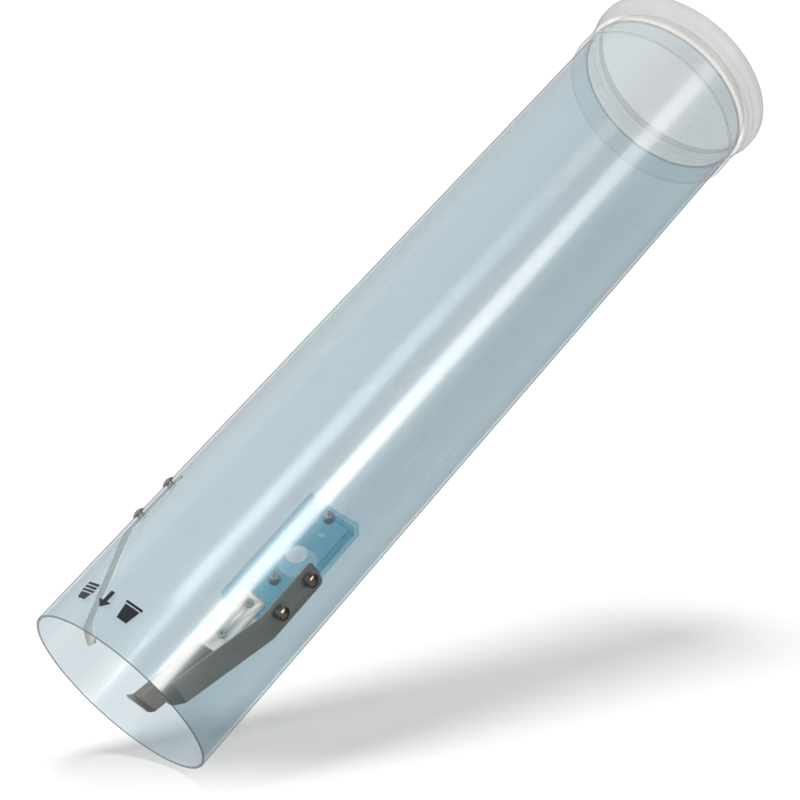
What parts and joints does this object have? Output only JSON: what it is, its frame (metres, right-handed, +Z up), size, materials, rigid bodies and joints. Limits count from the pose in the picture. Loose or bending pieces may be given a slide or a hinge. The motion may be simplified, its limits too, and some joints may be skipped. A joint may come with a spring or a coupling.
{
  "type": "cup dispenser",
  "caption": "Wall-hung clear tube that holds a stack of disposable cups, with sprung steel fingers at its open lower end, a press-on cap and a slide-on wall bracket.",
  "frame": {"origin": "on the wall plane, midway between the two screw holes of the wall plate", "axes": "+Z up along the tube towards the cap, +Y into the wall, +X to the right of someone facing the wall"},
  "size_m": [0.098, 0.105, 0.4228],
  "materials": {
    "clear_blue": "clear pale blue plastic, polished",
    "milky_poly": "milky natural polyethylene, satin gloss",
    "blue_channel": "translucent sky-blue plastic",
    "strip_steel": "brushed stainless spring steel",
    "rivet_steel": "bright tumbled rivet"
  },
  "bodies": {
    "wall_mount": {"wall_plate": "blue_channel"},
    "dispenser": {"tube": "clear_blue", "bracket": "blue_channel", "finger_plate_back": "strip_steel", "finger_plate_right": "strip_steel", "finger_plate_left": "strip_steel", "finger_rivet_back_low": "rivet_steel", "finger_rivet_back_high": "rivet_steel", "finger_rivet_right_low": "rivet_steel", "finger_rivet_right_high": "rivet_steel", "finger_rivet_left_low": "rivet_steel", "finger_rivet_left_high": "rivet_steel", "bracket_rivet_low": "rivet_steel", "bracket_rivet_high": "rivet_steel"},
    "lid": {"cap": "milky_poly"},
    "finger_back": {"finger_blade_back": "strip_steel"},
    "finger_right": {"finger_blade_right": "strip_steel"},
    "finger_left": {"finger_blade_left": "strip_steel"}
  },
  "joints": [
    {"name": "dispenser_lift", "type": "slide", "parent": "wall_mount", "child": "dispenser", "axis": [0, 0, 1], "range_m": [0, 0.075]},
    {"name": "cap_lift", "type": "slide", "parent": "dispenser", "child": "lid", "axis": [0, 0, 1], "range_m": [0, 0.06]},
    {"name": "finger_back_flex", "type": "hinge", "parent": "dispenser", "child": "finger_back", "pos_m": [0, -0.01305, -0.0565], "axis": [1, 0, 0], "range_deg": [0, 18], "stiffness_Nm_per_rad": 0.3},
    {"name": "finger_right_flex", "type": "hinge", "parent": "dispenser", "child": "finger_right", "pos_m": [0.0372, -0.07748, -0.0565], "axis": [-0.5, -0.866, 0], "range_deg": [0, 18], "stiffness_Nm_per_rad": 0.3},
    {"name": "finger_left_flex", "type": "hinge", "parent": "dispenser", "child": "finger_left", "pos_m": [-0.0372, -0.07748, -0.0565], "axis": [-0.5, 0.866, 0], "range_deg": [0, 18], "stiffness_Nm_per_rad": 0.3}
  ]
}
